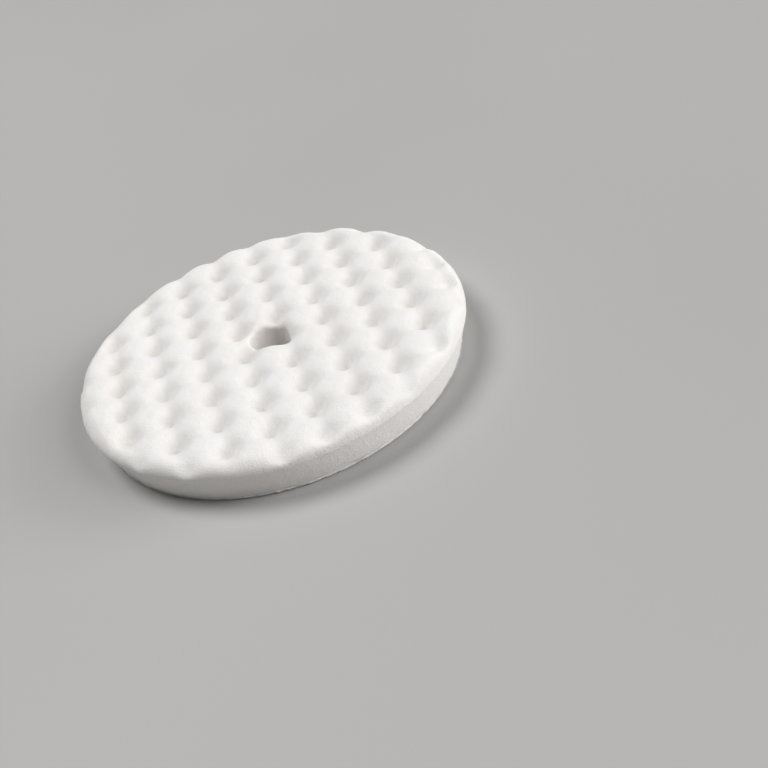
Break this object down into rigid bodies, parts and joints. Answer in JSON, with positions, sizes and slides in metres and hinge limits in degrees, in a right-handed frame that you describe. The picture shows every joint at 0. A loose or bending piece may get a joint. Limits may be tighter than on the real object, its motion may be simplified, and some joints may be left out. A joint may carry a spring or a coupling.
{
  "type": "polishing pad",
  "caption": "Round waffle-faced foam polishing pad with a tapered wall, a through centring hole and a loop cloth back.",
  "frame": {"origin": "centre of the loop cloth's face, on the axis of the centring hole", "axes": "+Z from the loop cloth towards the waffle face, along the pad's axis; +X along the printed dashes; seen from the cloth side, +Y is towards the grade bar"},
  "size_m": [0.2, 0.2, 0.0245],
  "materials": {
    "white_foam": "matte",
    "hot_melt": "satin",
    "loop_cloth": "matte",
    "red_print": "satin",
    "black_print": "satin"
  },
  "bodies": {
    "root": {"foam_disc": "white_foam", "adhesive_film": "hot_melt", "loop_backing": "loop_cloth", "grade_bar_print": "red_print", "dash_print_1": "black_print", "dash_print_2": "black_print", "dash_print_3": "black_print", "dash_print_4": "black_print", "dash_print_5": "black_print", "dot_print": "black_print", "rule_print": "black_print"}
  },
  "joints": []
}
